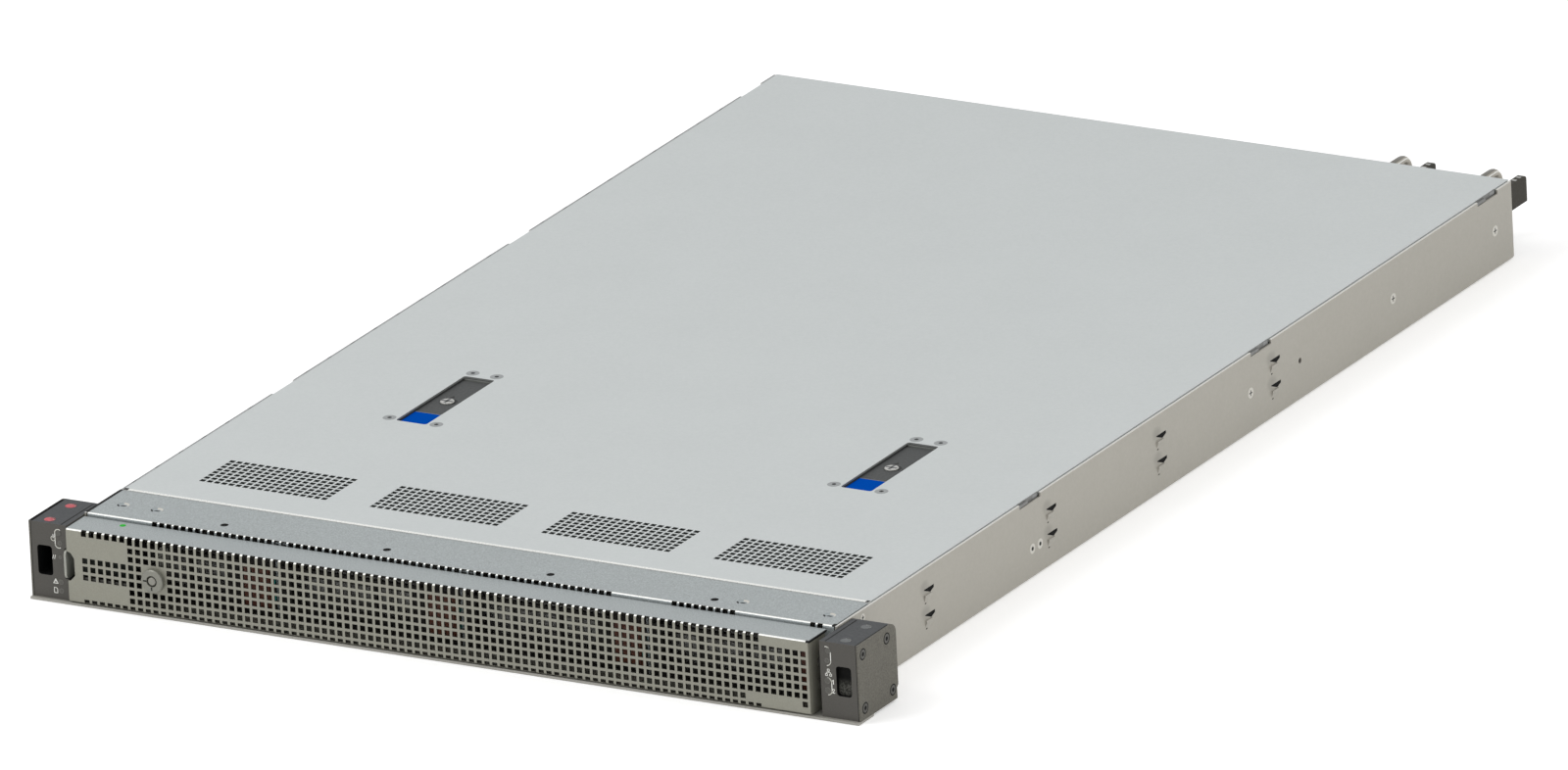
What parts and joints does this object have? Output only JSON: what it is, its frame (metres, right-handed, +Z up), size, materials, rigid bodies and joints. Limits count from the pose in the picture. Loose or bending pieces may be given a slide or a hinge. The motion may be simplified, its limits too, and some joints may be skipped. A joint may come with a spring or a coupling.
{
  "type": "rack server",
  "caption": "Low, deep rack-mount server with a perforated locking front bezel, a sliding top lid with lift latches, rack ears and two plug-in power supplies at the rear.",
  "frame": {"origin": "on the surface that the server stands on, midway between the ears, level with the ears' front face", "axes": "+X to the right seen from the front, +Y from the front to the rear, +Z up"},
  "size_m": [0.483, 0.7647, 0.0433],
  "materials": {
    "tray_steel": "galvanised, fine grain",
    "sill_aluminium": "satin",
    "panel_steel": "galvanised",
    "panel_screw_steel": "zinc plated",
    "wall_screw_steel": "zinc plated",
    "carrier_black": "matt",
    "release_red": "satin",
    "drive_aluminium": "cast",
    "light_pipe_teal": "translucent",
    "board_green": "solder resist",
    "ear_paint": "fine textured paint",
    "ear_cover_paint": "fine textured paint",
    "ear_screw_steel": "blackened",
    "plug_plastic": "smooth",
    "lamp_plastic": "smooth, unlit",
    "fan_black": "matt",
    "cooler_aluminium": "extruded",
    "memory_green": "solder resist",
    "port_steel": "plated",
    "inlet_black": "matt",
    "psu_steel": "galvanised",
    "lid_steel": "galvanised, fine grain",
    "latch_tub": "matt",
    "latch_screw_steel": "zinc plated",
    "pin_steel": "ground",
    "latch_black": "matt",
    "latch_blue": "matt",
    "turn_lock_steel": "turned",
    "bezel_paint": "satin metallic paint",
    "bracket_steel": "plain",
    "lock_chrome": "polished",
    "green_light": "translucent",
    "tab_paint": "satin",
    "lock_plug_steel": "plain",
    "bail_steel": "nickel plated",
    "catch_plastic": "matt",
    "button_plastic": "matt",
    "rotor_black": "matt"
  },
  "bodies": {
    "chassis": {"chassis_tray": "tray_steel", "front_sill_plate": "sill_aluminium", "front_top_panel": "panel_steel", "front_panel_screws": "panel_screw_steel", "rear_panel": "panel_steel", "wall_fasteners": "wall_screw_steel", "drive_cage_dividers": "panel_steel", "drive_carriers": "carrier_black", "carrier_levers": "carrier_black", "carrier_release_buttons": "release_red", "hard_drives": "drive_aluminium", "drive_light_pipes": "light_pipe_teal", "drive_backplane": "board_green", "left_ear_housing": "ear_paint", "right_ear_housing": "ear_paint", "ear_side_covers": "ear_cover_paint", "ear_side_screws": "ear_screw_steel", "ear_top_plugs": "plug_plastic", "ear_status_lights": "lamp_plastic", "fan_tray": "panel_steel", "fan_frames": "fan_black", "mainboard": "board_green", "processor_coolers": "cooler_aluminium", "memory_modules": "memory_green", "riser_card": "board_green", "expansion_card": "board_green", "rear_io_ports": "port_steel", "psu_inlets": "inlet_black", "psu_1_case": "psu_steel", "psu_2_case": "psu_steel"},
    "lid": {"top_cover": "lid_steel", "cover_latch_housings": "latch_tub", "cover_latch_screws": "latch_screw_steel", "cover_latch_pins": "pin_steel"},
    "left_latch": {"left_latch_handle": "latch_black", "left_latch_pad": "latch_blue"},
    "right_latch": {"right_latch_handle": "latch_black", "right_latch_pad": "latch_blue"},
    "left_turn_lock": {"left_latch_turn_lock": "turn_lock_steel"},
    "right_turn_lock": {"right_latch_turn_lock": "turn_lock_steel"},
    "bezel": {"bezel_panel": "bezel_paint", "bezel_latch_bracket": "bracket_steel", "bezel_lock_body": "lock_chrome", "bezel_status_light": "green_light", "bezel_hooks": "bracket_steel"},
    "release_tab": {"bezel_release_tab": "tab_paint"},
    "lock_plug": {"bezel_lock_plug": "lock_plug_steel"},
    "psu_1_bail": {"psu_1_handle": "bail_steel"},
    "psu_2_bail": {"psu_2_handle": "bail_steel"},
    "psu_1_release": {"psu_1_catch": "catch_plastic"},
    "psu_2_release": {"psu_2_catch": "catch_plastic"},
    "power_key": {"power_button": "button_plastic"},
    "locate_key": {"locate_button": "button_plastic"},
    "fan_1": {"fan_rotor_1": "rotor_black"},
    "fan_2": {"fan_rotor_2": "rotor_black"},
    "fan_3": {"fan_rotor_3": "rotor_black"},
    "fan_4": {"fan_rotor_4": "rotor_black"},
    "fan_5": {"fan_rotor_5": "rotor_black"},
    "fan_6": {"fan_rotor_6": "rotor_black"}
  },
  "joints": [
    {"name": "lid_slide", "type": "slide", "parent": "chassis", "child": "lid", "axis": [0, 1, 0], "range_m": [0, 0.012]},
    {"name": "left_latch_lift", "type": "hinge", "parent": "lid", "child": "left_latch", "pos_m": [-0.1302, 0.263, 0.038], "axis": [-1, 0, 0], "range_deg": [0, 75]},
    {"name": "right_latch_lift", "type": "hinge", "parent": "lid", "child": "right_latch", "pos_m": [0.1302, 0.263, 0.038], "axis": [-1, 0, 0], "range_deg": [0, 75]},
    {"name": "left_turn_lock_turn", "type": "hinge", "parent": "left_latch", "child": "left_turn_lock", "pos_m": [-0.1302, 0.2336, 0.0395], "axis": [0, 0, 1], "range_deg": [0, 90]},
    {"name": "right_turn_lock_turn", "type": "hinge", "parent": "right_latch", "child": "right_turn_lock", "pos_m": [0.1302, 0.2336, 0.0395], "axis": [0, 0, 1], "range_deg": [0, 90]},
    {"name": "bezel_swing", "type": "hinge", "parent": "chassis", "child": "bezel", "pos_m": [0.2206, 0.008, 0.021], "axis": [0, 0, 1], "range_deg": [0, 25]},
    {"name": "bezel_release", "type": "slide", "parent": "bezel", "child": "release_tab", "axis": [1, 0, 0], "range_m": [0, 0.0025], "stiffness_N_per_m": 250},
    {"name": "bezel_lock_turn", "type": "hinge", "parent": "bezel", "child": "lock_plug", "pos_m": [-0.16725, 0.003, 0.0205], "axis": [0, -1, 0], "range_deg": [0, 90]},
    {"name": "fan_1_spin", "type": "hinge", "parent": "chassis", "child": "fan_1", "pos_m": [-0.18, 0.3212, 0.022], "axis": [0, 1, 0], "continuous": true},
    {"name": "fan_2_spin", "type": "hinge", "parent": "chassis", "child": "fan_2", "pos_m": [-0.108, 0.3212, 0.022], "axis": [0, 1, 0], "continuous": true},
    {"name": "fan_3_spin", "type": "hinge", "parent": "chassis", "child": "fan_3", "pos_m": [-0.036, 0.3212, 0.022], "axis": [0, 1, 0], "continuous": true},
    {"name": "fan_4_spin", "type": "hinge", "parent": "chassis", "child": "fan_4", "pos_m": [0.036, 0.3212, 0.022], "axis": [0, 1, 0], "continuous": true},
    {"name": "fan_5_spin", "type": "hinge", "parent": "chassis", "child": "fan_5", "pos_m": [0.108, 0.3212, 0.022], "axis": [0, 1, 0], "continuous": true},
    {"name": "fan_6_spin", "type": "hinge", "parent": "chassis", "child": "fan_6", "pos_m": [0.18, 0.3212, 0.022], "axis": [0, 1, 0], "continuous": true},
    {"name": "psu_1_handle_fold", "type": "hinge", "parent": "chassis", "child": "psu_1_bail", "pos_m": [0.1436, 0.737, 0.022], "axis": [0, 0, 1], "range_deg": [0, 85]},
    {"name": "psu_2_handle_fold", "type": "hinge", "parent": "chassis", "child": "psu_2_bail", "pos_m": [0.197, 0.737, 0.022], "axis": [0, 0, 1], "range_deg": [0, 85]},
    {"name": "psu_1_catch_press", "type": "hinge", "parent": "chassis", "child": "psu_1_release", "pos_m": [0.159, 0.7328, 0.03], "axis": [0, 0, 1], "range_deg": [0, 6], "stiffness_Nm_per_rad": 0.4},
    {"name": "psu_2_catch_press", "type": "hinge", "parent": "chassis", "child": "psu_2_release", "pos_m": [0.2124, 0.7328, 0.03], "axis": [0, 0, 1], "range_deg": [0, 6], "stiffness_Nm_per_rad": 0.4},
    {"name": "power_button_press", "type": "slide", "parent": "chassis", "child": "power_key", "axis": [0, 1, 0], "range_m": [0, 0.0008], "stiffness_N_per_m": 300},
    {"name": "locate_button_press", "type": "slide", "parent": "chassis", "child": "locate_key", "axis": [0, 1, 0], "range_m": [0, 0.0008], "stiffness_N_per_m": 300}
  ],
  "couplings": [
    {"joint": "left_latch_lift", "follows": "lid_slide", "rad_per_m": 109},
    {"joint": "right_latch_lift", "follows": "lid_slide", "rad_per_m": 109}
  ]
}
